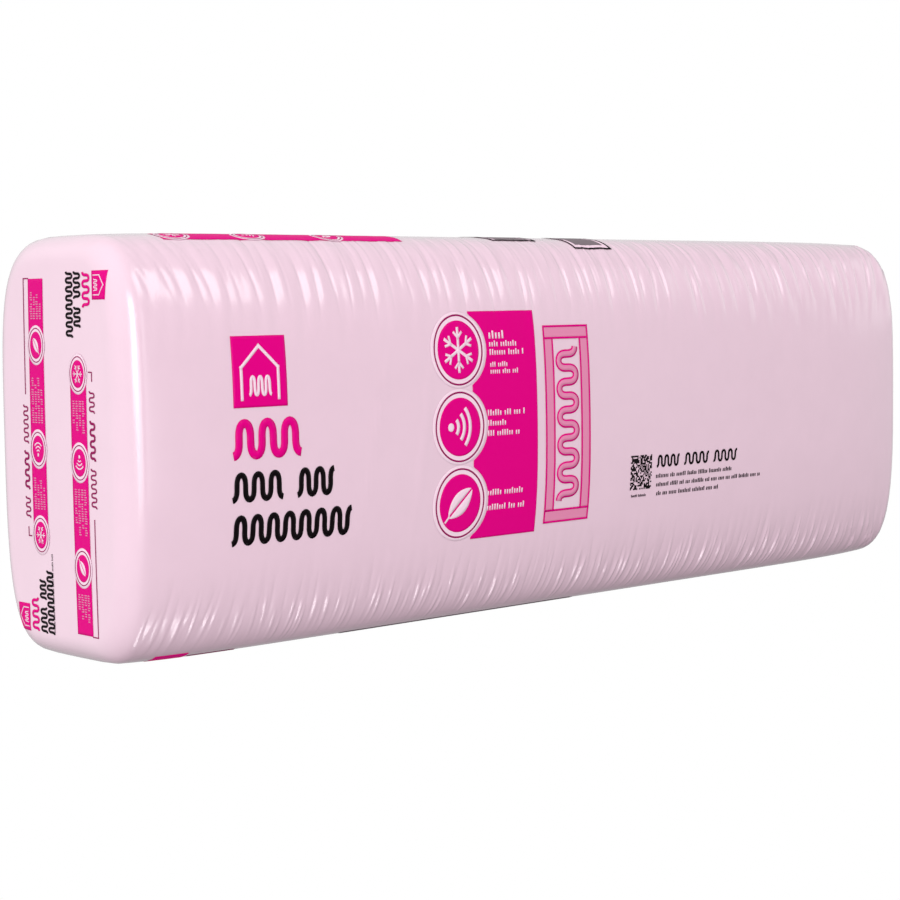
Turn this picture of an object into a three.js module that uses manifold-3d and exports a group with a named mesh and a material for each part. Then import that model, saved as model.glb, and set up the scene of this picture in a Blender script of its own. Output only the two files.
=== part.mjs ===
// Pack of compressed glass-wool insulation batts in a sealed film bag.
// Millimetres, +Z up. The pack stands on its long narrow side: X runs along the batts, Y through the
// stack, Z across the batts. The origin is on the floor under the middle of the pack.
import * as THREE from 'three';
import { mergeVertices } from 'three/addons/utils/BufferGeometryUtils.js';
import Module from 'manifold-3d';

// ---- Driving dimensions ------------------------------------------------------------------------
const bodyLength = 1236; // between the rims of the two end faces
const bodyDepth = 229; // between the edges of the front and back faces, before they swell
const bodyHeight = 410; // between the edges of the floor side and the top, before they swell

const topShoulderDepth = 100; // rounding between the top and the two big faces: across Y
const topShoulderHeight = 180; // and down Z
const topShoulderPower = 3.7; // 2 is an ellipse, more is squarer
const floorShoulderDepth = 72; // the same between the floor side and the big faces
const floorShoulderHeight = 195;
const floorShoulderPower = 3.2;
const rimRadius = 22; // rounding all round each end face

const endCrown = 2; // swelling of each face over its edges, from the wool's push
const faceCrown = 12;
const topCrown = 4;
const floorCrown = 7.5;
const floorSettle = 3; // how much of the floor side's swelling is pressed flat by the floor
const crownPower = 10; // how late the swelling falls off towards the ends

const filmThickness = 0.15;
const woolClearance = 0.3; // between the film and the wool
const battGap = 0.3; // between two batts
const battCount = 8;

const ventDiameter = 8; // air holes punched through the film of one end
const ventSpacingY = 90;
const ventSpacingZ = 180;

// ---- Tessellation ------------------------------------------------------------------------------
const shoulderSteps = 4; // segments in each half of a rounded shoulder
const rimSteps = 3; // segments across the rounding of an end face
const lengthSteps = 6; // segments of the straight stretches along X, Y and Z
const depthSteps = 2;
const heightSteps = 4;
const ventSides = 16;

// ---- Materials ---------------------------------------------------------------------------------
const film = new THREE.MeshStandardMaterial({ name: 'film', color: 0xf3d3e2, roughness: 0.32 });
const wool = new THREE.MeshStandardMaterial({ name: 'wool', color: 0xf0a9bf, roughness: 0.95 });

const wasm = await Module();
wasm.setup();

// ---- The pack's outer form ---------------------------------------------------------------------

/** Place along a side for the grid coordinate u, -1 to 1. The outer shoulderSteps segments turn
 * through the first 45 degrees of the shoulder, and the others share the straight stretch. */
function sidePlace(u, half, radius, straightSteps) {
  const straightShare = straightSteps / (straightSteps + 2 * shoulderSteps);
  const reach = Math.abs(u);
  const core = half - radius;
  if (reach <= straightShare) return (Math.sign(u) * core * reach) / straightShare;
  const turn = (reach - straightShare) / (1 - straightShare);
  return Math.sign(u) * (core + radius * Math.tan((turn * Math.PI) / 4));
}

/** Cross-section of the pack. A point of the square ring, where |v| or |w| is 1, goes to a rectangle
 * whose corners are superellipse quarters, one kind above the middle and one below. */
function sectionPoint(v, w, inset) {
  const halfDepth = bodyDepth / 2 - inset;
  const halfHeight = bodyHeight / 2 - inset;
  const above = w > 0;
  const depth = (above ? topShoulderDepth : floorShoulderDepth) - inset;
  const height = (above ? topShoulderHeight : floorShoulderHeight) - inset;
  const power = above ? topShoulderPower : floorShoulderPower;
  const radiusY = Math.min(depth, halfDepth);
  const radiusZ = Math.min(height, halfHeight);
  const y = sidePlace(v, halfDepth, radiusY, depthSteps);
  const z = sidePlace(w, halfHeight, radiusZ, heightSteps);
  const pastY = Math.max(Math.abs(y) - halfDepth + radiusY, 0);
  const pastZ = Math.max(Math.abs(z) - halfHeight + radiusZ, 0);
  const norm = ((pastY / radiusY) ** power + (pastZ / radiusZ) ** power) ** (1 / power);
  const excess = norm > 1 ? 1 - 1 / norm : 0;
  return [y - Math.sign(y) * pastY * excess, z - Math.sign(z) * pastZ * excess];
}

/** Swelling of a point: each face is proudest in its middle, and nearly as proud all along X. */
function swollen(x, y, z) {
  const alongX = 1 - Math.abs((2 * x) / bodyLength) ** crownPower;
  const alongY = 1 - ((2 * y) / bodyDepth) ** 2;
  const alongZ = 1 - ((2 * z) / bodyHeight) ** 2;
  const crownZ = z > 0 ? topCrown : floorCrown;
  return [
    x * (1 + ((2 * endCrown) / bodyLength) * alongY * alongZ),
    y * (1 + ((2 * faceCrown) / bodyDepth) * alongX * alongZ),
    z * (1 + ((2 * crownZ) / bodyHeight) * alongX * alongY),
  ];
}

/** Point of the pack's skin, moved inwards by inset, for a point of the cube from -1 to 1. The
 * section runs along X, draws in round each end face, and closes over it. */
function skinPoint(u, v, w, inset) {
  const ring = Math.max(Math.abs(v), Math.abs(w));
  const [sectionY, sectionZ] = ring > 0 ? sectionPoint(v / ring, w / ring, inset) : [0, 0];
  const radius = rimRadius - inset;
  const core = bodyLength / 2 - rimRadius;
  const straightShare = lengthSteps / (lengthSteps + 2 * rimSteps);
  const run = (Math.min(Math.abs(u) / straightShare, 1) * Math.PI) / 2; // steps shorten to the ends
  const angle = (Math.max(Math.abs(u) - straightShare, 0) / (1 - straightShare) * Math.PI) / 2;
  const along = core * Math.sin(run) + radius * Math.sin(angle);
  const inward = radius * (1 - Math.cos(angle));
  const [x, y, z] = swollen(
    Math.sign(u) * along,
    sectionY * ring * (1 - inward / (bodyDepth / 2 - inset)),
    sectionZ * ring * (1 - inward / (bodyHeight / 2 - inset)),
  );
  return [x, y, Math.max(z + bodyHeight / 2 + floorCrown - floorSettle, inset)];
}

// ---- Solids ------------------------------------------------------------------------------------

/** Closed solid of a three.js geometry, once its shared vertices are merged. */
function solidOf(geometry) {
  geometry.deleteAttribute('normal');
  geometry.deleteAttribute('uv');
  const merged = mergeVertices(geometry, 1e-4);
  const mesh = new wasm.Mesh({
    numProp: 3,
    vertProperties: new Float32Array(merged.attributes.position.array),
    triVerts: new Uint32Array(merged.index.array),
  });
  return new wasm.Manifold(mesh);
}

/** Named three.js mesh of a solid. */
function namedMesh(name, solid, material) {
  const { vertProperties, triVerts } = solid.getMesh();
  const geometry = new THREE.BufferGeometry();
  geometry.setAttribute('position', new THREE.BufferAttribute(vertProperties, 3));
  geometry.setIndex(new THREE.BufferAttribute(triVerts, 1));
  geometry.computeVertexNormals();
  const mesh = new THREE.Mesh(geometry, material);
  mesh.name = name;
  return mesh;
}

/** Solid of everything inside the skin, moved inwards by inset. */
function packForm(inset) {
  const geometry = new THREE.BoxGeometry(
    2, 2, 2,
    lengthSteps + 2 * rimSteps, depthSteps + 2 * shoulderSteps, heightSteps + 2 * shoulderSteps,
  );
  const places = geometry.attributes.position;
  for (let i = 0; i < places.count; i += 1) {
    places.setXYZ(i, ...skinPoint(places.getX(i), places.getY(i), places.getZ(i), inset));
  }
  return solidOf(geometry);
}

/** One air hole through the film of the +X end, at a corner of the vents' rectangle. */
function ventHole(sideY, sideZ) {
  const reach = endCrown + rimRadius; // well past the film, each way
  const hole = new THREE.CylinderGeometry(ventDiameter / 2, ventDiameter / 2, 2 * reach, ventSides);
  hole.rotateZ(Math.PI / 2);
  hole.translate(
    bodyLength / 2,
    (sideY * ventSpacingY) / 2,
    bodyHeight / 2 + (sideZ * ventSpacingZ) / 2,
  );
  return solidOf(hole);
}

/** The bag: one skin of film round the wool, open to the air at its vent holes. */
function filmBag() {
  let bag = packForm(0).subtract(packForm(filmThickness));
  for (const sideY of [-1, 1]) {
    for (const sideZ of [-1, 1]) bag = bag.subtract(ventHole(sideY, sideZ));
  }
  return bag;
}

/** The batts: the form inside the film, sliced through the stack into equal thicknesses. */
function battStack() {
  const stack = packForm(filmThickness + woolClearance);
  const { min, max } = stack.boundingBox();
  const pitch = (max[1] - min[1]) / battCount;
  const batts = [];
  for (let i = 0; i < battCount; i += 1) {
    const slab = new THREE.BoxGeometry(2 * bodyLength, pitch - battGap, 4 * bodyHeight);
    slab.translate(0, min[1] + (i + 0.5) * pitch, 0);
    batts.push(stack.intersect(solidOf(slab)));
  }
  return batts;
}

// ---- Assembly ----------------------------------------------------------------------------------
const pack = new THREE.Group();
pack.add(namedMesh('film_bag', filmBag(), film));
battStack().forEach((batt, i) => {
  pack.add(namedMesh(`batt_${String(i + 1).padStart(2, '0')}`, batt, wool));
});

export default pack;
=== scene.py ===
"""A pack of insulation batts in glossy printed film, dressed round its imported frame. Metres, +Z up.

The film is one closed surface: a tube of lines along X and round the section, and a grid over each
end. The print is thin ink laid on that film, each shape a small grid of its own.
"""

import math

import bpy
import numpy as np
from mathutils import Matrix, Vector


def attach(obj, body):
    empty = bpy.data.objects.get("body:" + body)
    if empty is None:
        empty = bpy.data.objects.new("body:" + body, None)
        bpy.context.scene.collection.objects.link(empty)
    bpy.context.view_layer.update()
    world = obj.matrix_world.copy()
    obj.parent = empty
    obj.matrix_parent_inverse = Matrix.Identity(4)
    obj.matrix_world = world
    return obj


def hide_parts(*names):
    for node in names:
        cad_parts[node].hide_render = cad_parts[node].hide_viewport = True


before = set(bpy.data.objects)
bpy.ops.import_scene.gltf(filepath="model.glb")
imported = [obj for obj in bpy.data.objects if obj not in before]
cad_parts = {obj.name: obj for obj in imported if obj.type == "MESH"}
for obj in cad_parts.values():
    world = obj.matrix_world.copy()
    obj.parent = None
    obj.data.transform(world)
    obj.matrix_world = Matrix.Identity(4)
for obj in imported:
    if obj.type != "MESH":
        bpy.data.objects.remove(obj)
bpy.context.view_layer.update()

# ---- Sizes of the pack's form, as in the frame's own source --------------------------------------
BODY_LENGTH = 1.236
BODY_DEPTH = 0.229
BODY_HEIGHT = 0.410
TOP_SHOULDER = (0.100, 0.180, 3.7)  # depth, height and superellipse power of the rounding
FLOOR_SHOULDER = (0.072, 0.195, 3.2)
RIM_RADIUS = 0.022
END_CROWN = 0.002
FACE_CROWN = 0.012
TOP_CROWN = 0.004
FLOOR_CROWN = 0.0075
FLOOR_SETTLE = 0.003
CROWN_POWER = 10

HALF_DEPTH = BODY_DEPTH / 2
HALF_HEIGHT = BODY_HEIGHT / 2
HALF_LENGTH = BODY_LENGTH / 2
MID_HEIGHT = HALF_HEIGHT + FLOOR_CROWN - FLOOR_SETTLE  # of the section's middle over the floor

# ---- Sizes of the film's mesh --------------------------------------------------------------------
RIM_CELLS = 8
CORE_CELLS = 800
DEPTH_STOPS = (-HALF_DEPTH, -0.060, 0.060, HALF_DEPTH)
DEPTH_CELLS = (8, 6, 8)
HEIGHT_STOPS = (-HALF_HEIGHT, -0.120, 0.060, 0.120, HALF_HEIGHT)
HEIGHT_CELLS = (13, 7, 6, 11)
DEPTH_TOTAL = sum(DEPTH_CELLS)
HEIGHT_TOTAL = sum(HEIGHT_CELLS)

# ---- Colours, linear -----------------------------------------------------------------------------
FILM_PINK = (0.83, 0.594, 0.706)
WOOL_PINK = (0.87, 0.40, 0.52)
INKS = {
    "magenta": (0.73, 0.0, 0.215),
    "wine": (0.30, 0.006, 0.10),
    "rose": (0.74, 0.25, 0.42),
    "black": (0.004, 0.002, 0.003),
    "grey": (0.20, 0.16, 0.18),
    "pale": (0.88, 0.66, 0.77),
}

TINY = 1e-12  # least length that anything is divided by


# ---- The pack's form -----------------------------------------------------------------------------
def corner_norm(y, z):
    """How far (y, z) lies past the straight sides of the section, along Y and along Z, and the norm
    ((dy / depth)^power + (dz / height)^power)^(1 / power), which is 1 on a rounded corner."""
    above = z > 0
    depth, height, power = (np.where(above, a, b) for a, b in zip(TOP_SHOULDER, FLOOR_SHOULDER))
    past_y = np.maximum(np.abs(y) - HALF_DEPTH + depth, 0)
    past_z = np.maximum(np.abs(z) - HALF_HEIGHT + height, 0)
    norm = ((past_y / depth) ** power + (past_z / height) ** power) ** (1 / power)
    return past_y, past_z, norm


def drawn_in(y, z):
    """Cross-section: a point of the bounding rectangle's edge is drawn in towards the centre of its
    corner until its norm is 1."""
    past_y, past_z, norm = corner_norm(y, z)
    excess = np.where(norm > 1, 1 - 1 / np.maximum(norm, 1), 0)
    return y - np.sign(y) * past_y * excess, z - np.sign(z) * past_z * excess


def swollen(x, y, z):
    """Swelling of the stuffed form: along Y and Z each face is proudest in its middle, by a
    parabola, and along X it stays proud until close to the ends. The floor presses the lowest part
    flat."""
    along_x = 1 - np.abs(x / HALF_LENGTH) ** CROWN_POWER
    along_y = 1 - (y / HALF_DEPTH) ** 2
    along_z = 1 - (z / HALF_HEIGHT) ** 2
    crown = np.where(z > 0, TOP_CROWN, FLOOR_CROWN)
    places = (
        x * (1 + END_CROWN / HALF_LENGTH * along_y * along_z),
        y * (1 + FACE_CROWN / HALF_DEPTH * along_x * along_z),
        np.maximum(z * (1 + crown / HALF_HEIGHT * along_x * along_y) + MID_HEIGHT, 0),
    )
    return np.stack(np.broadcast_arrays(*places), axis=-1)


def form_point(x, inward, y, z, ring=1.0):
    """Point of the smooth form over the rectangle's edge point (y, z): drawn in by the rim's
    rounding, and scaled down by ring on the end faces."""
    section_y, section_z = drawn_in(y, z)
    return swollen(
        x,
        section_y * ring * (1 - inward / HALF_DEPTH),
        section_z * ring * (1 - inward / HALF_HEIGHT),
    )


def lines(stops, counts):
    """Grid lines: each stretch between two stops is shared evenly by its count of cells."""
    parts = [np.linspace(a, b, n, endpoint=False) for a, b, n in zip(stops, stops[1:], counts)]
    return np.concatenate(parts + [[stops[-1]]])


# ---- The film's grid -----------------------------------------------------------------------------
depth_lines = lines(DEPTH_STOPS, DEPTH_CELLS)
height_lines = lines(HEIGHT_STOPS, HEIGHT_CELLS)

# The ring of section points: up the front, back over the top, down the back, and home along the
# floor.
ring_y = np.concatenate([
    np.full(HEIGHT_TOTAL, -HALF_DEPTH), depth_lines[:-1],
    np.full(HEIGHT_TOTAL, HALF_DEPTH), depth_lines[:0:-1],
])
ring_z = np.concatenate([
    height_lines[:-1], np.full(DEPTH_TOTAL, HALF_HEIGHT),
    height_lines[:0:-1], np.full(DEPTH_TOTAL, -HALF_HEIGHT),
])
ROWS = len(ring_y)

rim_angles = np.linspace(0, math.pi / 2, RIM_CELLS + 1)
core_end = HALF_LENGTH - RIM_RADIUS
core_x = np.linspace(-core_end, core_end, CORE_CELLS + 1)
rim_x = core_end + RIM_RADIUS * np.sin(rim_angles)
rim_in = RIM_RADIUS * (1 - np.cos(rim_angles))
column_x = np.concatenate([-rim_x[:0:-1], core_x, rim_x[1:]])
column_in = np.concatenate([rim_in[:0:-1], np.zeros_like(core_x), rim_in[1:]])
COLUMNS = len(column_x)

smooth_tube = form_point(
    column_x[:, None], column_in[:, None], ring_y[None, :], ring_z[None, :],
)


def tube_normals(points):
    """Unit normals of a tube's grid of points, from the differences of their neighbours. The second
    index runs round the closed section."""
    along = np.gradient(points, axis=0)
    around = (np.roll(points, -1, axis=1) - np.roll(points, 1, axis=1)) / 2
    normals = np.cross(along, around)
    return normals / np.maximum(np.linalg.norm(normals, axis=-1, keepdims=True), TINY)


smooth_normals = tube_normals(smooth_tube)

# How far each row lies from the top's middle line, measured round the film at mid length.
mid_section = smooth_tube[COLUMNS // 2]
top_row = HEIGHT_TOTAL + DEPTH_TOTAL // 2
steps = np.linalg.norm(np.roll(mid_section, -1, axis=0) - mid_section, axis=1)
travelled = np.concatenate([[0], np.cumsum(steps)])
GIRTH = travelled[-1]
HALF_GIRTH = GIRTH / 2
from_top = (travelled[:-1] - travelled[top_row] + HALF_GIRTH) % GIRTH - HALF_GIRTH
row_reach = np.abs(from_top)  # 0 on the top's middle line, half the girth on the floor's
on_front_side = from_top < 0


# ---- Wrinkles ------------------------------------------------------------------------------------
def smooth_step(low, high, value):
    """0 below low, 1 above high, and an S curve 3t^2 - 2t^3 between."""
    t = np.clip((value - low) / (high - low), 0, 1)
    return t * t * (3 - 2 * t)


def band(start, full, fading, stop, value):
    """1 between full and fading, falling smoothly to 0 at start and at stop."""
    return smooth_step(start, full, value) * (1 - smooth_step(fading, stop, value))


GATHER_STEEPNESS = 2.2  # how much steeper a gather is on its -X side
GATHER_SPREAD = 7  # widths from its middle within which it is worked out
GATHER_BOW = 0.25  # how much more a gather leans towards its two ends
FADE_IN = 0.35  # shares of its run over which it fades in and out
FADE_OUT = 0.55


def add_gather(relief, spot, lean, start, stop, width, height, front):
    """One gather of the film, running round the section. It falls off as exp(-distance / width) on
    its +X side, and GATHER_STEEPNESS times faster on the other. It is a sharp groove between two
    puffs where height is negative and a crest where it is positive, and fades in and out along its
    run."""
    rows = np.flatnonzero((row_reach > start) & (row_reach < stop) & (on_front_side == front))
    reach = row_reach[rows]
    run = stop - start
    past = reach - (start + stop) / 2
    centre = spot + lean * past + GATHER_BOW * lean * past * np.abs(past) / run
    fade = band(start, start + FADE_IN * run, stop - FADE_OUT * run, stop, reach)
    near = np.flatnonzero(np.abs(column_x - spot) < GATHER_SPREAD * width + abs(lean) * run)
    away = column_x[near][:, None] - centre[None, :]
    slope = np.where(away > 0, -1, GATHER_STEEPNESS) / width
    relief[np.ix_(near, rows)] += height * fade[None, :] * np.exp(away * slope)


ROW_END = 0.610  # where the rows of gathers begin and end along X
SPLAY_FROM = 0.42  # from here on the gathers lean ever more
STRENGTHS = (0.45, 1.0)
LENGTHS = (0.6, 1.0)  # how far down the range of its row's stops a gather of full strength goes
LEAN_SPREAD = 0.05


def gather_row(relief, rng, front, apart, starts, stops, widths, depth, splay, growth):
    """Row of grooves along the pack, or of crests where depth is negative, each with its place,
    reach, width and depth by chance, and leaning outwards towards the two ends by the share splay.
    A deep one also reaches further. The depth grows by the share growth for each metre from the
    printed end of the front to its other."""
    spot = -ROW_END
    while spot < ROW_END:
        spot += rng.uniform(*apart)
        toward_end = smooth_step(SPLAY_FROM, ROW_END, abs(spot)) * np.sign(spot)
        strength = rng.uniform(*STRENGTHS)
        start = rng.uniform(*starts)
        stop = stops[0] + (stops[1] - stops[0]) * strength * rng.uniform(*LENGTHS)
        lean = rng.normal(0, LEAN_SPREAD) + splay * toward_end
        width = rng.uniform(*widths)
        deeper = strength * (1 + growth * spot * (1 if front else -1))
        add_gather(relief, spot, lean, start, stop, width, -depth * deeper, front)


SOFT_WAVES = 7  # sine waves in a sum


def soft_waves(rng, x, reach, shortest, longest, slant):
    """Sum of sine waves along X of random length and phase, each a little slanted round the
    section."""
    total = np.zeros(np.broadcast(x, reach).shape)
    for _ in range(SOFT_WAVES):
        length = rng.uniform(shortest, longest)
        along = x + rng.normal(0, slant) * reach
        phase = rng.uniform(0, 2 * math.pi)
        total += np.sin(2 * math.pi * along / length + phase)
    return total / math.sqrt(SOFT_WAVES)


LOOSE = 0.0008  # how far the slack film stands off the wool
TAUT = 0.0002  # the least that it stands off
PUFF = 0.0010  # how much further it stands off along the shoulders, between the gathers
PUFF_WAVE = 0.00030
PUFF_BAND = (0.030, 0.100, 0.150, 0.215)  # where the puffs start, are full, fade and stop
FLOOR_PUFF = 0.3 * PUFF  # the same along the bottom edges
FLOOR_PUFF_WAVE = 0.00012
FLOOR_PUFF_BAND = tuple(HALF_GIRTH - reach for reach in (0.200, 0.140, 0.110, 0.060))
TAUT_FROM = core_end - 0.004  # where along X the film draws taut round an end
TAUT_TO = core_end + 0.018
GATHER_SEED = 7

# Rows of gathers: ranges of their distance apart, of where they start and stop round the section,
# and of their width, then their depth, splay and growth. The last two rows lie along the bottom.
GATHER_ROWS = (
    ((0.011, 0.026), (0.070, 0.108), (0.152, 0.190), (0.0032, 0.0062), 0.0023, -0.35, 1.0),
    ((0.008, 0.022), (0.045, 0.080), (0.105, 0.150), (0.0014, 0.0024), 0.0008, -0.35, 0.0),
    ((0.014, 0.036), (0.026, 0.060), (0.140, 0.185), (0.0020, 0.0032), -0.0010, -0.35, 1.3),
    (
        (0.008, 0.022), (HALF_GIRTH - 0.180, HALF_GIRTH - 0.140),
        (HALF_GIRTH - 0.108, HALF_GIRTH - 0.074), (0.0016, 0.0030), 0.0007, 0.25, 0.0,
    ),
    (
        (0.004, 0.016), (HALF_GIRTH - 0.158, HALF_GIRTH - 0.116),
        (HALF_GIRTH - 0.094, HALF_GIRTH - 0.074), (0.0011, 0.0016), -0.0020, 0.25, 1.0,
    ),
)

LONG_FOLDS = ((-0.325, -0.24), (-0.255, -0.16))  # place along X, and lean
FOLD_START, FOLD_STOP = 0.180, 0.430
FOLD_WIDTH, FOLD_HEIGHT = 0.0050, 0.0012


def film_relief():
    """How far the film stands off the smooth form at each point of the tube: soft puffs on the
    shoulders with grooves gathered into them, and two long faint folds down each big face."""
    rng = np.random.default_rng(GATHER_SEED)
    x, reach = column_x[:, None], row_reach[None, :]
    on_top, near_floor = band(*PUFF_BAND, reach), band(*FLOOR_PUFF_BAND, reach)
    relief = np.zeros((COLUMNS, ROWS))
    for front in (True, False):
        side = (on_front_side == front)[None, :]
        puffs = PUFF + PUFF_WAVE * soft_waves(rng, x, reach, 0.018, 0.060, 0.10)
        relief += puffs * on_top * side
        puffs = FLOOR_PUFF + FLOOR_PUFF_WAVE * soft_waves(rng, x, reach, 0.014, 0.050, 0.15)
        relief += puffs * near_floor * side
        for row in GATHER_ROWS:
            gather_row(relief, rng, front, *row)
        for spot, lean in LONG_FOLDS:
            place = spot if front else -spot
            add_gather(relief, place, lean, FOLD_START, FOLD_STOP, FOLD_WIDTH, FOLD_HEIGHT, front)
    slack = 1 - smooth_step(TAUT_FROM, TAUT_TO, np.abs(column_x))[:, None]
    return np.maximum(LOOSE * slack + relief * slack, TAUT)


film_tube = smooth_tube + smooth_normals * film_relief()[..., None]
film_tube[..., 2] = np.maximum(film_tube[..., 2], 0)
film_normals = tube_normals(film_tube)


# ---- Meshes --------------------------------------------------------------------------------------
def new_piece(name, vertices, faces, material, smooth=True):
    """Mesh object from arrays of vertices and of four-cornered faces, all smooth or as given for
    each."""
    mesh = bpy.data.meshes.new(name)
    mesh.from_pydata(vertices.tolist(), [], faces.tolist())
    mesh.update()
    mesh.polygons.foreach_set("use_smooth", np.broadcast_to(smooth, len(faces)).tolist())
    mesh.materials.append(material)
    piece = bpy.data.objects.new(name, mesh)
    bpy.context.scene.collection.objects.link(piece)
    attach(piece, "root")
    return piece


def cells(ids):
    """Four-cornered faces of a grid of vertex numbers, facing along first index x second index."""
    corners = (ids[:-1, :-1], ids[1:, :-1], ids[1:, 1:], ids[:-1, 1:])
    return np.stack(corners, axis=-1).reshape(-1, 4)


# ---- Materials -----------------------------------------------------------------------------------
def new_material(name):
    """Material with a node tree: the material, its tree and its shader."""
    material = bpy.data.materials.new(name)
    material.use_nodes = True
    return material, material.node_tree, material.node_tree.nodes["Principled BSDF"]


def set_values(node, values):
    """Sets each named socket of a node."""
    for socket, value in values.items():
        node.inputs[socket].default_value = value


def add_noise(tree, place, values, stretch=None):
    """Noise over a place, which is stretched first where a stretch is given."""
    if stretch:
        stretched = tree.nodes.new("ShaderNodeMapping")
        stretched.inputs["Scale"].default_value = stretch
        tree.links.new(place, stretched.inputs["Vector"])
        place = stretched.outputs["Vector"]
    noise = tree.nodes.new("ShaderNodeTexNoise")
    set_values(noise, values)
    tree.links.new(place, noise.inputs["Vector"])
    return noise.outputs["Fac"]


def add_tint(tree, shader, mask, first, second):
    """Base colour that goes from the first to the second as the mask goes from 0 to 1."""
    tint = tree.nodes.new("ShaderNodeMix")
    tint.data_type = "RGBA"
    set_values(tint, {"A": first + (1,), "B": second + (1,)})
    tree.links.new(mask, tint.inputs["Factor"])
    tree.links.new(tint.outputs["Result"], shader.inputs["Base Color"])


def add_bump(tree, shader, height, strength, distance):
    """Bump on the shader's normal."""
    bump = tree.nodes.new("ShaderNodeBump")
    set_values(bump, {"Strength": strength, "Distance": distance})
    tree.links.new(height, bump.inputs["Height"])
    tree.links.new(bump.outputs["Normal"], shader.inputs["Normal"])


def node_group(name, inputs, outputs):
    """Empty shader group with named sockets."""
    group = bpy.data.node_groups.new(name, "ShaderNodeTree")
    for socket, kind in inputs:
        group.interface.new_socket(socket, in_out="INPUT", socket_type=kind)
    for socket, kind in outputs:
        group.interface.new_socket(socket, in_out="OUTPUT", socket_type=kind)
    return group, group.nodes.new("NodeGroupInput"), group.nodes.new("NodeGroupOutput")


def film_surface_group():
    """Fine ripples of the film for the bump, and a faint cloudiness from the wool behind it."""
    group, given, out = node_group(
        "film surface",
        [("Place", "NodeSocketVector")],
        [("Height", "NodeSocketFloat"), ("Cloud", "NodeSocketFloat")],
    )
    place = given.outputs["Place"]
    ripples = add_noise(group, place, {"Scale": 60, "Detail": 3}, stretch=(1.0, 0.35, 0.35))
    cloud = add_noise(group, place, {"Scale": 26, "Detail": 5, "Roughness": 0.6})
    group.links.new(ripples, out.inputs["Height"])
    group.links.new(cloud, out.inputs["Cloud"])
    return group


film_surface = film_surface_group()

GLOSS = {"Roughness": 0.22, "Coat Roughness": 0.15, "Coat IOR": 1.5}
FILM_CLOUD = 0.03  # share by which the wool behind it darkens and lightens the film


def film_material(name, colour):
    """Glossy film, clouded by the wool that shows through."""
    material, tree, shader = new_material(name)
    place = tree.nodes.new("ShaderNodeTexCoord")
    surface = tree.nodes.new("ShaderNodeGroup")
    surface.node_tree = film_surface
    tree.links.new(place.outputs["Object"], surface.inputs["Place"])
    dark = tuple(c * (1 - FILM_CLOUD) for c in colour)
    light = tuple(c * (1 + FILM_CLOUD) for c in colour)
    add_tint(tree, shader, surface.outputs["Cloud"], dark, light)
    add_bump(tree, shader, surface.outputs["Height"], strength=0.10, distance=0.002)
    set_values(shader, GLOSS | {"IOR": 1.5, "Coat Weight": 1.0})
    return material


def ink_material(name, colour):
    """Glossy ink, one even colour under a thin share of the film's clear gloss."""
    material, _, shader = new_material(name)
    colour_and_coat = {"Base Color": colour + (1,), "Specular IOR Level": 0.0, "Coat Weight": 0.15}
    set_values(shader, GLOSS | colour_and_coat)
    return material


bare_film = film_material("film", FILM_PINK)
inks = {name: ink_material(f"{name} ink", colour) for name, colour in INKS.items()}


# ---- Film bag ------------------------------------------------------------------------------------
def end_grid(side, ring_ids):
    """Grid over one end face. Its inner points are scaled copies of the section's edge, with the
    scale max(|v|, |w|) of their place (v, w) in the square, and its outer points are the tube's."""
    v, w = np.meshgrid(depth_lines / HALF_DEPTH, height_lines / HALF_HEIGHT, indexing="ij")
    ring = np.maximum(np.maximum(np.abs(v), np.abs(w)), TINY)
    edge_y, edge_z = v / ring * HALF_DEPTH, w / ring * HALF_HEIGHT
    points = form_point(side * HALF_LENGTH, RIM_RADIUS, edge_y, edge_z, ring)
    inside = np.zeros(v.shape, bool)
    inside[1:-1, 1:-1] = True
    front, top, back, floor = np.split(
        ring_ids, np.cumsum([HEIGHT_TOTAL, DEPTH_TOTAL, HEIGHT_TOTAL]),
    )
    ids = np.zeros(v.shape, int)
    ids[0, :-1] = front
    ids[:-1, -1] = top
    ids[-1, :0:-1] = back
    ids[:0:-1, 0] = floor
    return points[inside], inside, ids


def film_bag():
    """The whole bag as one closed surface: the wrinkled tube, and a taut grid over each end."""
    ids = np.arange(COLUMNS * ROWS).reshape(COLUMNS, ROWS)
    vertices = [film_tube.reshape(-1, 3)]
    faces = [cells(np.concatenate([ids, ids[:, :1]], axis=1))]
    count = COLUMNS * ROWS
    for side, column in ((-1, 0), (1, -1)):
        points, inside, end_ids = end_grid(side, ids[column])
        end_ids[inside] = count + np.arange(len(points))
        count += len(points)
        vertices.append(points)
        faces.append(cells(end_ids if side > 0 else end_ids.T))
    piece = new_piece("film_skin", np.concatenate(vertices), np.concatenate(faces), bare_film)
    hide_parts("film_bag")


film_bag()


# ---- Print: the sheets of film that a flat layout goes on ----------------------------------------
INK_LIFT = 0.00030  # of the lowest ink over the film
INK_THICKNESS = 0.00012
INK_LAYER = 0.00016  # from one ink up to the next one printed over it
LAST_COLUMN = COLUMNS - 1.001  # just short of the last, so that each place has a next column

# Heights up the front at mid length, against the run round the film from the top's middle line.
front_run = np.linspace(-HALF_GIRTH, 0, 400)
front_height = np.interp(front_run, np.sort(from_top), mid_section[np.argsort(from_top), 2])


def raised(points, normals, lift):
    """Points moved along their normals, of any length."""
    return points + lift * normals / np.linalg.norm(normals, axis=-1, keepdims=True)


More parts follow.
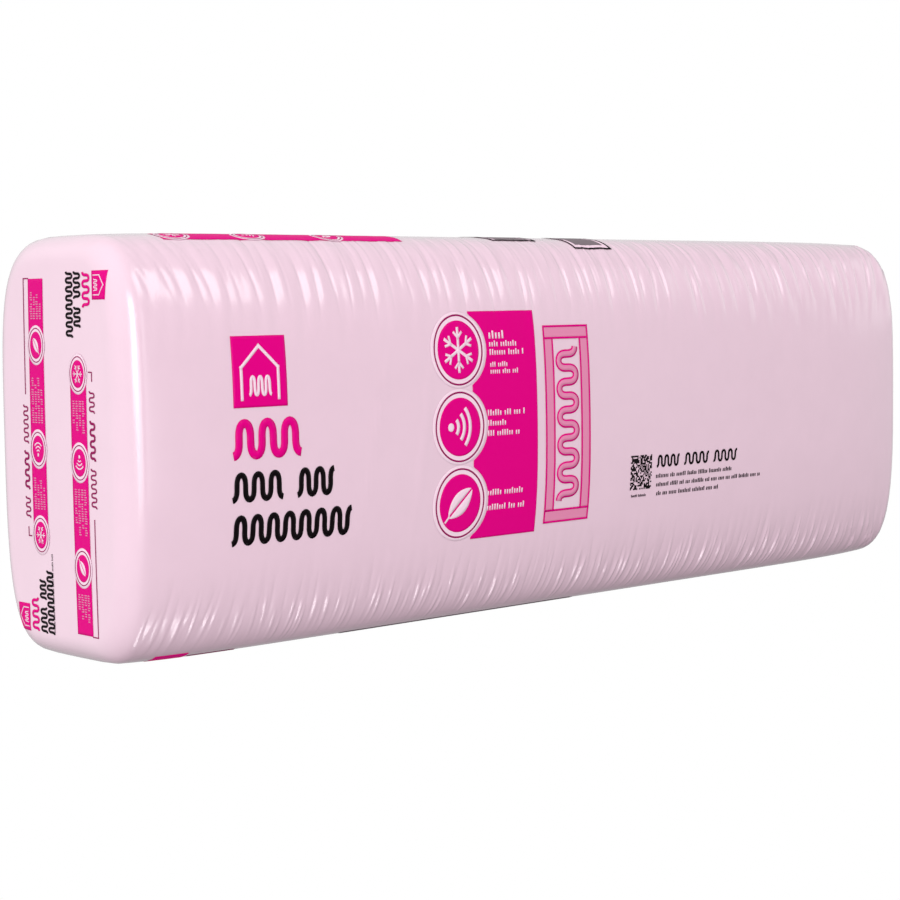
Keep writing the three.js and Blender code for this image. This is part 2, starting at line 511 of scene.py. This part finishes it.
def on_tube(plan, lift):
    """Points over the tube for places (x, run), where run goes round the section from the top's
    middle line and is negative on the front: the film's grid, blended between its neighbours, and
    raised."""
    column = np.interp(plan[..., 0], column_x, np.arange(COLUMNS))
    column = np.clip(column, 0, LAST_COLUMN)
    place = (plan[..., 1] + travelled[top_row]) % GIRTH
    row = np.interp(place, travelled, np.arange(ROWS + 1))
    i, j = column.astype(int), row.astype(int) % ROWS
    part_i, part_j = (column % 1)[..., None], (row % 1)[..., None]
    next_j = (j + 1) % ROWS

    def blend(grid):
        low = grid[i, j] * (1 - part_i) + grid[i + 1, j] * part_i
        high = grid[i, next_j] * (1 - part_i) + grid[i + 1, next_j] * part_i
        return low * (1 - part_j) + high * part_j

    return raised(blend(film_tube), blend(film_normals), lift)


def on_front(plan, lift):
    """Points over the front for places (x, z)."""
    run = np.interp(plan[..., 1], front_height, front_run)
    return on_tube(np.stack([plan[..., 0], run], axis=-1), lift)


def on_back(plan, lift):
    """Points over the back for the front's places, which are turned half round with the pack."""
    run = np.interp(plan[..., 1], front_height, front_run)
    return on_tube(np.stack([-plan[..., 0], -run], axis=-1), lift)


HALVINGS = 30


def end_skin(across, up):
    """The near end and its rounded rim at places (across, up), across running to the right as the
    end is looked at. Halving finds how far the rim is drawn in where the section passes the
    place."""
    y, z = -across, up - MID_HEIGHT
    least, most = np.zeros_like(y), np.full_like(y, RIM_RADIUS)
    for _ in range(HALVINGS):
        inward = (least + most) / 2
        norm = corner_norm(y / (1 - inward / HALF_DEPTH), z / (1 - inward / HALF_HEIGHT))[2]
        least, most = np.where(norm < 1, inward, least), np.where(norm < 1, most, inward)
    sine = np.sqrt(np.maximum(1 - (1 - least / RIM_RADIUS) ** 2, 0))
    return swollen(-(core_end + RIM_RADIUS * sine), y, z)


def on_end(plan, lift):
    """Points over the near end for places (across, up)."""
    across, up = plan[..., 0], plan[..., 1]
    nudge = 0.0005
    normals = np.cross(
        end_skin(across + nudge, up) - end_skin(across - nudge, up),
        end_skin(across, up + nudge) - end_skin(across, up - nudge),
    )
    return raised(end_skin(across, up), normals, lift)


def half_turn(surface):
    """The same surface on the far side of the pack: turned half round about the vertical."""
    return lambda plan, lift: surface(plan, lift) * (-1, -1, 1)


# ---- Print: flat shapes --------------------------------------------------------------------------
# A shape is (ink, layer, closed, plan): plan is a grid of flat places, and the first index of a
# closed one runs round a loop. The second index lies to the left of the first.
PLATE_STEP = 0.003  # between a shape's grid lines
DISC_STEP = 0.0025
HOOP_POINTS = 64
EDGE_ROOM = 0.0004  # that a film column keeps from a shape's edge
CORNER_LAYER = 0.1  # from one stretch of a bent line up to the next, which laps it at the corner


def steps_between(low, high, step):
    """Places from low to high, at most a step apart."""
    return np.linspace(low, high, max(int(math.ceil((high - low) / step)), 1) + 1)


def film_columns(low, high):
    """Places along X from low to high, on the film's own columns between."""
    inside = column_x[(column_x > low + EDGE_ROOM) & (column_x < high - EDGE_ROOM)]
    return np.concatenate([[low], inside, [high]])


def plate(ink, left, bottom, right, top, layer=0, columns=None):
    """Rectangle, with its grid lines on the columns where they are given."""
    if columns is None:
        columns = steps_between(left, right, PLATE_STEP)
    plan = np.meshgrid(columns, steps_between(bottom, top, PLATE_STEP), indexing="ij")
    return ink, layer, False, np.stack(plan, axis=-1)


def disc(ink, centre, radii, layer=0, step=DISC_STEP):
    """Ellipse: a square grid, each point drawn in along its ray by max(|v|, |w|) / hypot(v, w)."""
    line = np.linspace(-1, 1, int(math.ceil(2 * max(radii) / step)) + 1)
    v, w = np.meshgrid(line, line, indexing="ij")
    shrink = np.maximum(np.abs(v), np.abs(w)) / np.maximum(np.hypot(v, w), TINY)
    plan = (centre[0] + radii[0] * v * shrink, centre[1] + radii[1] * w * shrink)
    return ink, layer, False, np.stack(plan, axis=-1)


def ribbon(ink, path, width, layer=0, closed=False, cells_across=1):
    """Stroke of even width along a path."""
    path = np.asarray(path, float)
    if closed:
        heading = np.roll(path, -1, axis=0) - np.roll(path, 1, axis=0)
    else:
        heading = np.gradient(path, axis=0)
    heading /= np.linalg.norm(heading, axis=1, keepdims=True)
    left = np.stack([-heading[:, 1], heading[:, 0]], axis=1)
    offsets = np.linspace(-width / 2, width / 2, cells_across + 1)
    return ink, layer, closed, path[:, None, :] + offsets[None, :, None] * left[:, None, :]


def hoop(ink, centre, radii, width, layer):
    """Ring of even width along an ellipse."""
    angles = np.linspace(0, 2 * math.pi, HOOP_POINTS, endpoint=False)
    path = (centre[0] + radii[0] * np.cos(angles), centre[1] + radii[1] * np.sin(angles))
    return ribbon(ink, np.stack(path, axis=1), width, layer, closed=True)


def bent_line(ink, corners, width, layer=0, step=PLATE_STEP):
    """Stroke along straight stretches: one plate-like ribbon for each, half a width longer at both
    ends."""
    strokes = []
    for a, b in zip(corners, corners[1:]):
        a, b = np.array(a, float), np.array(b, float)
        reach = (b - a) / np.linalg.norm(b - a) * width / 2
        count = int(math.ceil(np.linalg.norm(b - a) / step)) + 2
        along = np.linspace(0, 1, count)[:, None]
        path = (a - reach) * (1 - along) + (b + reach) * along
        strokes.append(ribbon(ink, path, width, layer))
        layer += CORNER_LAYER
    return strokes


BEND_SWELL = 0.16  # share of the pitch by which a bend is swollen


def batt_path(start, length, middle, swing, bends, bend_points):
    """The builders' drawing sign for batts, a looping line: to and fro by a sine, with its bends
    swollen by a sine of twice the pace. Gives the places along the line and across it."""
    turns = np.linspace(0, math.pi * bends, bend_points * bends + 1)
    pitch = length / bends
    along = start + pitch * turns / math.pi + BEND_SWELL * pitch * np.sin(2 * turns)
    return along, middle - swing * np.cos(turns)


def batt_sign(ink, left, bottom, right, top, stroke, bends, layer=0):
    """The sign for batts, lying in a box."""
    path = batt_path(
        left + stroke / 2, right - left - stroke,
        (bottom + top) / 2, (top - bottom - stroke) / 2, bends, 14,
    )
    return ribbon(ink, np.stack(path, axis=1), stroke, layer, cells_across=2)


# Sizes in a row of ticks, as shares of its height, and how its groups are made up.
TICK_WIDTH = 0.30
TICK_PITCH = 0.58
TICK_GAP = 0.50  # between two groups
LAST_TICK_ROOM = 0.4
SHORT_TICK, TALL_TICK, TALL_CHANCE = 0.75, 1.0, 0.35
GROUP_SIZES = (3, 9)  # from the first, and below the second


def tick_row(ink, left, bottom, right, top, layer=0, seed=1):
    """Row of small upright ticks in groups, in place of a line of small print."""
    rng = np.random.default_rng(seed)
    height = top - bottom
    ticks, x = [], left
    while x + LAST_TICK_ROOM * height < right:
        for _ in range(rng.integers(*GROUP_SIZES)):
            if x + TICK_WIDTH * height > right:
                break
            tall = TALL_TICK if rng.uniform() < TALL_CHANCE else SHORT_TICK
            ticks.append(plate(
                ink, x, bottom, x + TICK_WIDTH * height, bottom + tall * height, layer,
            ))
            x += TICK_PITCH * height
        x += TICK_GAP * height
    return ticks


# ---- Print: motifs, whose numbers are shares of their size ---------------------------------------
def snow_icon(ink, centre, size, layer):
    """Six-armed snow crystal, each arm with a fork."""
    strokes = []
    for k in range(6):
        turn = math.pi / 6 + k * math.pi / 3
        arm = np.array([math.cos(turn), math.sin(turn)])
        fork = centre + 0.58 * size[1] * arm * np.array([size[0] / size[1], 1])
        arm_layer = layer + 0.05 * k
        strokes += bent_line(ink, [centre, centre + arm * size], 0.15 * size[1], arm_layer)
        for lean in (-1, 1):
            side = turn + lean * math.pi / 4
            tip = fork + 0.34 * np.array([math.cos(side) * size[0], math.sin(side) * size[1]])
            fork_layer = layer + 0.4 + 0.05 * k
            strokes += bent_line(ink, [fork, tip], 0.12 * size[1], fork_layer)
    return strokes


def sound_icon(ink, centre, size, layer):
    """A dot and three arcs of sound."""
    base = centre - np.array([0.62 * size[0], 0])
    strokes = [disc(ink, base, (0.20 * size[0], 0.20 * size[1]), layer, 0.0015)]
    angles = np.linspace(-0.75, 0.75, 15)
    arc = np.stack([size[0] * np.cos(angles), size[1] * np.sin(angles)], axis=1)
    for reach in (0.50, 0.90, 1.30):
        strokes.append(ribbon(ink, base + reach * arc, 0.19 * size[1], layer))
    return strokes


def leaf_icon(ink, centre, size, layer):
    """Leaf between two arcs that meet at its tip and stalk, with a midrib left open."""
    along = np.linspace(0, 1, 17)
    spine = np.stack([(along - 0.5) * 1.5, (along - 0.5) * 1.3], axis=1)
    side = np.array([-0.65, 0.75])
    rows = np.linspace(0, 1, 4)
    shapes = []
    for half in (-1, 1):
        edge = half * (0.05 + 0.48 * np.sin(math.pi * along) ** 0.8)
        inner = half * 0.05 * np.ones_like(along)
        right, left = (inner, edge) if half > 0 else (edge, inner)
        width = right[:, None] * (1 - rows) + left[:, None] * rows
        places = spine[:, None, :] + width[..., None] * side
        shapes.append((ink, layer, False, centre + places * size))
    stalk = [centre + np.array([-0.95, -0.85]) * size, centre + np.array([-0.72, -0.62]) * size]
    return shapes + bent_line(ink, stalk, 0.10 * size[1], layer)


ICONS = (snow_icon, sound_icon, leaf_icon)


def house_plate(left, bottom, right, top):
    """Magenta plate with a pale gable and a batt sign in it."""
    width, height = right - left, top - bottom
    stroke = 0.05 * min(width, height)
    gable = [(0.16, 0.12), (0.16, 0.56), (0.50, 0.86), (0.84, 0.56), (0.84, 0.12)]
    corners = [(left + u * width, bottom + v * height) for u, v in gable]
    sign = batt_sign(
        "pale", left + 0.27 * width, bottom + 0.15 * height,
        left + 0.73 * width, bottom + 0.45 * height, stroke, 6, 1,
    )
    shapes = [plate("magenta", left, bottom, right, top)]
    return shapes + bent_line("pale", corners, stroke, 1) + [sign]


def heading(house, first, second, third):
    """House plate and three lines of batt signs, one magenta and two black, in the boxes given. The
    second line has a gap in it."""
    def sign(ink, box, bends, share):
        return batt_sign(ink, *box, share * (box[3] - box[1]), bends)

    left, bottom, right, top = second
    gap_left, gap_right = left + 0.51 * (right - left), left + 0.60 * (right - left)
    return house_plate(*house) + [
        sign("magenta", first, 6, 0.22),
        sign("black", (left, bottom, gap_left, top), 6, 0.20),
        sign("black", (gap_right, bottom, right, top), 5, 0.20),
        sign("black", third, 15, 0.20),
    ]


def roundel(centre, pale, ring, ring_width, magenta, icon, icon_size, layer=0, step=DISC_STEP):
    """Pale disc, thin ring, magenta disc and pale icon, each with its radii."""
    return [
        disc("pale", centre, pale, layer),
        hoop("wine", centre, ring, ring_width, layer + 1),
        disc("magenta", centre, magenta, layer + 1, step),
    ] + icon("pale", np.array(centre), np.array(icon_size), layer + 2)


STRIP_ROUNDEL = np.array([0.0196, 0.0153])  # half its length along the strip, and half its width


def strip(start, length, low, width, roundels, seed=None, columns=None):
    """Long magenta strip with roundels on it and, where a seed is given, four rows of small ticks
    after each roundel."""
    end = start + length
    shapes = [plate("magenta", start, low, end, low + width, columns=columns)]
    for spot, icon in zip(roundels, ICONS):
        shapes += roundel(
            (spot, low + width / 2), STRIP_ROUNDEL, 0.845 * STRIP_ROUNDEL, 0.0010,
            0.68 * STRIP_ROUNDEL, icon, 0.46 * STRIP_ROUNDEL, 1, 0.002,
        )
    if seed is None:
        return shapes
    edges = list(roundels) + [end + STRIP_ROUNDEL[0] - 0.004]
    for spot, following in zip(edges, edges[1:]):
        left, right = spot + STRIP_ROUNDEL[0] + 0.006, following - STRIP_ROUNDEL[0] - 0.008
        for k, share in enumerate((1.0, 0.8, 0.95, 0.7)):
            bottom = low + width * (0.73 - 0.20 * k)
            reach = left + share * (right - left)
            shapes += tick_row("rose", left, bottom, reach, bottom + 0.15 * width, 1, seed + k)
    return shapes


# ---- Print: layouts, places in metres ------------------------------------------------------------
PANEL = (-0.182, 0.0915, -0.084, 0.336)  # left, bottom, right, top
PANEL_GRID = (58, 110)  # points along it and up it
PANEL_ROUNDELS = ((-0.2007, 0.2954), (-0.2017, 0.2138), (-0.2007, 0.1321))
PANEL_CUT = 0.0417  # radius of the bite that each roundel takes from the panel

# Left, right, bottom and top of the panel's rows of ticks.
PANEL_ROWS = (
    (-0.1545, -0.129, 0.3065, 0.3150),
    (-0.1545, -0.112, 0.2980, 0.3042),
    (-0.1545, -0.101, 0.2890, 0.2952),
    (-0.1545, -0.128, 0.2762, 0.2815),
    (-0.1545, -0.112, 0.2688, 0.2742),
    (-0.1604, -0.103, 0.2238, 0.2302),
    (-0.1604, -0.128, 0.2128, 0.2190),
    (-0.1604, -0.112, 0.2018, 0.2080),
    (-0.1604, -0.106, 0.1374, 0.1438),
    (-0.1604, -0.101, 0.1212, 0.1276),
)


def panel():
    """Magenta panel whose left edge steps round the roundels."""
    left, bottom, right, top = PANEL
    z = np.linspace(bottom, top, PANEL_GRID[1])
    edge = np.full_like(z, left)
    for x, height in PANEL_ROUNDELS:
        bite = np.sqrt(np.maximum(PANEL_CUT**2 - (z - height) ** 2, 0))
        edge = np.maximum(edge, np.where(bite > 0, x + bite, left))
    along = np.linspace(0, 1, PANEL_GRID[0])[:, None]
    x = edge[None, :] * (1 - along) + right * along
    return "magenta", 0, False, np.stack([x, np.broadcast_to(z, x.shape)], axis=-1)


def panel_print():
    """Panel, roundels and the panel's small print."""
    shapes = [panel()]
    for spot, icon in zip(PANEL_ROUNDELS, ICONS):
        shapes += roundel(
            spot, (0.0400, 0.0405), (0.0348, 0.0367), 0.0019,
            (0.0299, 0.0312), icon, (0.0215, 0.0225),
        )
    for k, (left, right, bottom, top) in enumerate(PANEL_ROWS):
        shapes += tick_row("pale", left, bottom, right, top, 1, seed=20 + k)
    return shapes


def box_corners(left, bottom, right, top):
    """The corners of a box, round to the first again."""
    return [(left, bottom), (right, bottom), (right, top), (left, top), (left, bottom)]


def stud_bay():
    """Piece of framed wall seen from inside: two studs between two plates, and a batt between
    them."""
    left, bottom, right, top = -0.070, 0.100, 0.000, 0.318
    board, line, room = 0.013, 0.0022, 0.010
    low, high = bottom + board, top - board
    boards = (
        (left, bottom, right, low), (left, high, right, top),
        (left, low, left + board, high), (right - board, low, right, high),
    )
    shapes = []
    for k, box in enumerate(boards):
        shapes.append(plate("rose", *box))
        shapes += bent_line("magenta", box_corners(*box), line, 1 + CORNER_LAYER * k)
    length = (high - room) - (low + room)
    z, x = batt_path(low + room, length, (left + right) / 2, 0.0135, 11, 16)
    path = np.stack([x, z], axis=1)
    for ink, width, layer in (("magenta", 0.0095, 0), ("rose", 0.0055, 1)):
        shapes.append(ribbon(ink, path, width, layer, cells_across=2))
    return shapes


CODE_CELLS = (20, 22)  # across and up
CODE_FILL = 0.52  # share of the cells that are inked
CODE_SEED = 11


def code_block(left, bottom, right, top):
    """Block of small squares, each there or not by chance."""
    columns, rows = CODE_CELLS
    filled = np.random.default_rng(CODE_SEED).uniform(size=CODE_CELLS) < CODE_FILL
    u, v = (right - left) / columns, (top - bottom) / rows
    return [
        plate("black", left + i * u, bottom + j * v, left + (i + 1) * u, bottom + (j + 1) * v)
        for i, j in np.argwhere(filled)
    ]


def info_print():
    """Code block, a heading of batt signs and three rows of small print."""
    shapes = code_block(0.070, 0.126, 0.1065, 0.166)
    shapes += tick_row("black", 0.073, 0.1175, 0.099, 0.1205, seed=31)
    for left, right in ((0.114, 0.157), (0.163, 0.211), (0.217, 0.264)):
        shapes.append(batt_sign("black", left, 0.1495, right, 0.1645, 0.0029, 7))
    shapes += tick_row("black", 0.1145, 0.1375, 0.2537, 0.1425, seed=32)
    shapes += tick_row("black", 0.1159, 0.1273, 0.3116, 0.1322, seed=33)
    shapes += tick_row("black", 0.1170, 0.1168, 0.2326, 0.1218, seed=34)
    return shapes


def front_print():
    """Everything on a big face, places (x, z)."""
    boxes = (
        (-0.500, 0.247, -0.434, 0.3165), (-0.506, 0.196, -0.414, 0.2364),
        (-0.506, 0.1545, -0.3734, 0.1847), (-0.506, 0.112, -0.3497, 0.1428),
    )
    return heading(*boxes) + panel_print() + stud_bay() + info_print()


def fitted_plate(ink, left, low, right, high, layer=0):
    """Rectangle round the section, with its grid lines on the film's columns."""
    return plate(ink, left, low, right, high, layer, film_columns(left, right))


def top_label(left, right, low, high, margin):
    """Label with a dark frame round a grey block."""
    edge = 0.007
    shapes = [fitted_plate("pale", left, low, right, high)]
    shapes += bent_line("black", box_corners(left, low, right, high), 0.0030, 1, 0.0017)
    grey = (left + edge, low + margin, right - edge, high - edge)
    return shapes + [fitted_plate("grey", *grey, 0.5)]


def tube_print():
    """What is printed round the edges of a big face, places (x, run)."""
    start, length = -0.540, 0.308
    columns = film_columns(start, start + length)
    shapes = strip(start, length, -0.074, 0.028, (-0.522, -0.429, -0.326), columns=columns)
    shapes += top_label(-0.090, -0.024, -0.0655, -0.012, 0.0017)
    shapes += top_label(0.025, 0.085, -0.0845, -0.031, 0.007)
    shapes.append(fitted_plate("magenta", -0.565, -0.5400, -0.525, -0.5055))
    shapes.append(fitted_plate("wine", -0.520, -0.5240, -0.462, -0.5160))
    shapes.append(fitted_plate("grey", -0.323, -0.5235, 0.028, -0.5150))
    return shapes


def end_half_print():
    """One reading direction of an end's print, places (down, right) from the top of the end's
    heading."""
    boxes = (
        (0.0010, 0.0664, 0.0284, 0.0873), (0.0007, 0.0491, 0.0372, 0.0626),
        (0.0000, 0.0341, 0.0560, 0.0468), (0.0000, 0.0207, 0.0657, 0.0336),
    )
    shapes = heading(*boxes)
    shapes += strip(0.099, 0.252, 0.0267, 0.0266, (0.099, 0.184, 0.286), seed=50)
    shapes += bent_line("wine", [(0.238, 0.0620), (0.3514, 0.0620), (0.3514, 0.0533)], 0.0011)
    shapes += bent_line("wine", [(0.0970, 0.0580), (0.0970, 0.0630), (0.1055, 0.0630)], 0.0011)
    signs = ((0.114, 0.137, 5, 0.0016), (0.142, 0.183, 7, 0.0024), (0.188, 0.228, 9, 0.0016))
    for left, right, bends, stroke in signs:
        shapes.append(batt_sign("wine", left, 0.0577, right, 0.0672, stroke, bends))
    return shapes


def placed(shapes, spot, turn):
    """The shapes turned by an angle about the layout's origin and moved to the spot."""
    cosine, sine = math.cos(turn), math.sin(turn)
    rotation = np.array([[cosine, sine], [-sine, cosine]])
    return [(ink, layer, closed, plan @ rotation + spot) for ink, layer, closed, plan in shapes]


END_TOP = 0.382  # height of the top of an end's heading
END_CENTRE = (0.0035, 0.203)  # the end's print is the same turned half round about this place


def end_print():
    """Everything on an end, places (across, up)."""
    half = end_half_print()
    note = tick_row("black", 0.0035, 0.0205, 0.0836, 0.0228, seed=60)
    opposite = (2 * END_CENTRE[0], 2 * END_CENTRE[1] - END_TOP)
    downward = placed(half, (0, END_TOP), -math.pi / 2)
    return downward + placed(half + note, opposite, math.pi / 2)


# ---- Print: laid on the film ---------------------------------------------------------------------
def slab(surface, plan, closed, lift):
    """Closed thin slab of a flat shape on a surface: its two sides, and walls along its edges.
    Gives the points, the faces of the sides and those of the walls."""
    columns, rows = plan.shape[:2]
    under = np.arange(columns * rows).reshape(columns, rows)
    if closed:
        under = np.concatenate([under, under[:1]])
    over = under + columns * rows
    sides = np.concatenate([cells(over), cells(under.T)])
    runs = [(under[:, 0], over[:, 0]), (under[::-1, -1], over[::-1, -1])]
    if not closed:
        runs += [(under[-1], over[-1]), (under[0, ::-1], over[0, ::-1])]
    walls = [np.stack([low[:-1], low[1:], high[1:], high[:-1]], axis=1) for low, high in runs]
    skins = [surface(plan, lift).reshape(-1, 3), surface(plan, lift + INK_THICKNESS).reshape(-1, 3)]
    return np.concatenate(skins), sides, np.concatenate(walls)


def joined(slabs):
    """Several slabs as one mesh: its points, its faces, and which of them are smooth. The sides
    are, and the walls aren't."""
    starts = np.cumsum([0] + [len(points) for points, _, _ in slabs])
    sides = np.concatenate([sides + start for (_, sides, _), start in zip(slabs, starts)])
    walls = np.concatenate([walls + start for (_, _, walls), start in zip(slabs, starts)])
    smooth = np.concatenate([np.full(len(sides), True), np.full(len(walls), False)])
    points = np.concatenate([points for points, _, _ in slabs])
    return points, np.concatenate([sides, walls]), smooth


def print_film():
    """Lays every layout on its sheet, and joins the slabs of each ink to one piece."""
    layouts = (
        (front_print(), (on_front, on_back)),
        (tube_print(), (on_tube, lambda plan, lift: on_tube(-plan, lift))),
        (end_print(), (on_end, half_turn(on_end))),
    )
    slabs = {name: [] for name in inks}
    for shapes, surfaces in layouts:
        for ink, layer, closed, plan in shapes:
            for surface in surfaces:
                slabs[ink].append(slab(surface, plan, closed, INK_LIFT + layer * INK_LAYER))
    for name, parts in slabs.items():
        points, faces, smooth = joined(parts)
        new_piece(f"{name}_print", points, faces, inks[name], smooth)


print_film()


# ---- Air holes -----------------------------------------------------------------------------------
def wool_material(name, colour):
    """Matt wool, mottled and roughened by a fine stretched noise."""
    material, tree, shader = new_material(name)
    place = tree.nodes.new("ShaderNodeTexCoord").outputs["Object"]
    fibres = add_noise(tree, place, {"Scale": 1500, "Detail": 4}, stretch=(1.0, 0.3, 1.0))
    add_tint(tree, shader, fibres, tuple(0.5 * c for c in colour), colour)
    add_bump(tree, shader, fibres, strength=0.6, distance=0.0004)
    shader.inputs["Roughness"].default_value = 0.95
    return material


VENT_RADIUS = 0.004
VENT_PLACES = [(across, up) for across in (-0.045, 0.045) for up in (0.115, 0.295)]
VENT_LIFT = INK_LIFT + 4 * INK_LAYER  # the holes go through any print there


def air_holes():
    """The wool that shows in the four small air holes of the far end, as discs over the print."""
    slabs = []
    for centre in VENT_PLACES:
        plan = disc("wool", centre, (VENT_RADIUS, VENT_RADIUS), step=0.001)[-1]
        slabs.append(slab(half_turn(on_end), plan, False, VENT_LIFT))
    points, faces, smooth = joined(slabs)
    new_piece("air_hole_wool", points, faces, wool_material("wool", WOOL_PINK), smooth)


air_holes()


# ---- Stage ---------------------------------------------------------------------------------------
FLOOR_RADIUS = 14
FLOOR_DROP = 0.0006  # just more than the ink under the pack


def studio_floor():
    """Sheet of plain white paper, a wide disc. It only shows, and neither bounces nor blocks
    light."""
    bpy.ops.mesh.primitive_circle_add(
        vertices=96, radius=FLOOR_RADIUS, fill_type="NGON", location=(0, 0, -FLOOR_DROP),
    )
    floor = bpy.context.object
    floor.name = "studio_floor"
    floor.visible_diffuse = floor.visible_glossy = floor.visible_shadow = False
    material, tree, _ = new_material("studio floor")
    paper = tree.nodes.new("ShaderNodeEmission")
    paper.inputs["Strength"].default_value = 1.0
    tree.links.new(paper.outputs["Emission"], tree.nodes["Material Output"].inputs["Surface"])
    floor.data.materials.append(material)


PACK_MIDDLE = (-0.1, 0, 0.2)
LIGHTS = (  # name, place, target, width, height and watts
    ("left key", (-1.666, -2.004, 0.741), PACK_MIDDLE, 0.8, 1.2, 14.4),
    ("low left key", (-1.376, -2.310, 0.200), PACK_MIDDLE, 1.0, 0.7, 5),
    ("shoulder key", (1.41, -4.45, 3.94), PACK_MIDDLE, 3.1, 2.3, 56),
    ("far right softbox", (3.0, -0.9, 1.2), (0.2, 0, 0.2), 1.6, 1.6, 4),
    ("near edge key", (0.05, -3.04, 0.55), (-0.6, -0.115, 0.2), 0.9, 1.6, 4.4),
    ("low spark", (0.78, -2.17, -3.51), (-0.1, 0, 0.1), 0.8, 2.2, 25),
)


def soft_light(name, place, target, width, height, power):
    """Soft studio panel at a place, facing a target."""
    data = bpy.data.lights.new(name, "AREA")
    data.shape = "RECTANGLE"
    data.size, data.size_y, data.energy = width, height, power
    light = bpy.data.objects.new(name, data)
    bpy.context.scene.collection.objects.link(light)
    light.location = place
    light.rotation_euler = (Vector(target) - Vector(place)).to_track_quat("-Z", "Y").to_euler()


GLOW = {"left": 1.03, "right": 0.76, "low front": 1.05, "back": 0.59, "up": 0.84}


def studio_world():
    """White surroundings, plain to the camera. They light the pack with a glow that depends on the
    direction (x, y, z): the sum of the shares in GLOW times -x on the left, x squared (1 - |z|)
    squared on the right, y squared times -z at the low front, y squared at the back, and z
    above."""
    world = bpy.data.worlds.new("studio")
    bpy.context.scene.world = world
    world.use_nodes = True
    nodes, links = world.node_tree.nodes, world.node_tree.links

    def combined(operation, first, second):
        node = nodes.new("ShaderNodeMath")
        node.operation = operation
        for socket, value in zip(node.inputs, (first, second)):
            if isinstance(value, float):
                socket.default_value = value
            else:
                links.new(value, socket)
        return node.outputs["Value"]

    def positive(part, sign):
        return combined("MAXIMUM", combined("MULTIPLY", part, sign), 0.0)

    def squared(value):
        return combined("POWER", value, 2.0)

    place = nodes.new("ShaderNodeTexCoord")
    parts = nodes.new("ShaderNodeSeparateXYZ")
    links.new(place.outputs["Generated"], parts.inputs["Vector"])
    x, y, z = parts.outputs["X"], parts.outputs["Y"], parts.outputs["Z"]
    level = combined("SUBTRACT", 1.0, combined("ABSOLUTE", z, 0.0))
    lobes = {
        "left": positive(x, -1.0),
        "right": squared(combined("MULTIPLY", positive(x, 1.0), level)),
        "low front": combined("MULTIPLY", squared(positive(y, -1.0)), positive(z, -1.0)),
        "back": squared(positive(y, 1.0)),
        "up": positive(z, 1.0),
    }
    total = 0.0
    for side, lobe in lobes.items():
        total = combined("ADD", total, combined("MULTIPLY", lobe, GLOW[side]))
    path = nodes.new("ShaderNodeLightPath")
    choice = nodes.new("ShaderNodeMix")
    choice.inputs["B"].default_value = 1.0
    links.new(total, choice.inputs["A"])
    links.new(path.outputs["Is Camera Ray"], choice.inputs["Factor"])
    background = nodes["Background"]
    background.inputs["Color"].default_value = (1, 1, 1, 1)
    links.new(choice.outputs["Result"], background.inputs["Strength"])


CAMERA_PLACE = (-1.7024, -1.7206, 0.3476)
CAMERA_TURN = math.radians(43)
CAMERA_RISE = math.radians(4.135)
CAMERA_ROLL = math.radians(-0.795)
CAMERA_LENS = 82.405


def studio_camera():
    """Camera that looks at the near end from the front left, a little from above."""
    back = np.array([
        -math.sin(CAMERA_TURN) * math.cos(CAMERA_RISE),
        -math.cos(CAMERA_TURN) * math.cos(CAMERA_RISE),
        math.sin(CAMERA_RISE),
    ])
    right = np.array([math.cos(CAMERA_TURN), -math.sin(CAMERA_TURN), 0])
    up = np.cross(back, right)
    rolled_right = math.cos(CAMERA_ROLL) * right + math.sin(CAMERA_ROLL) * up
    rolled_up = math.cos(CAMERA_ROLL) * up - math.sin(CAMERA_ROLL) * right
    data = bpy.data.cameras.new("camera")
    data.lens = CAMERA_LENS
    camera = bpy.data.objects.new("camera", data)
    bpy.context.scene.collection.objects.link(camera)
    axes = Matrix([rolled_right, rolled_up, back]).transposed()
    camera.matrix_world = Matrix.Translation(CAMERA_PLACE) @ axes.to_4x4()
    bpy.context.scene.camera = camera


studio_floor()
studio_world()
for light in LIGHTS:
    soft_light(*light)
studio_camera()
bpy.context.scene.view_settings.view_transform = "Standard"
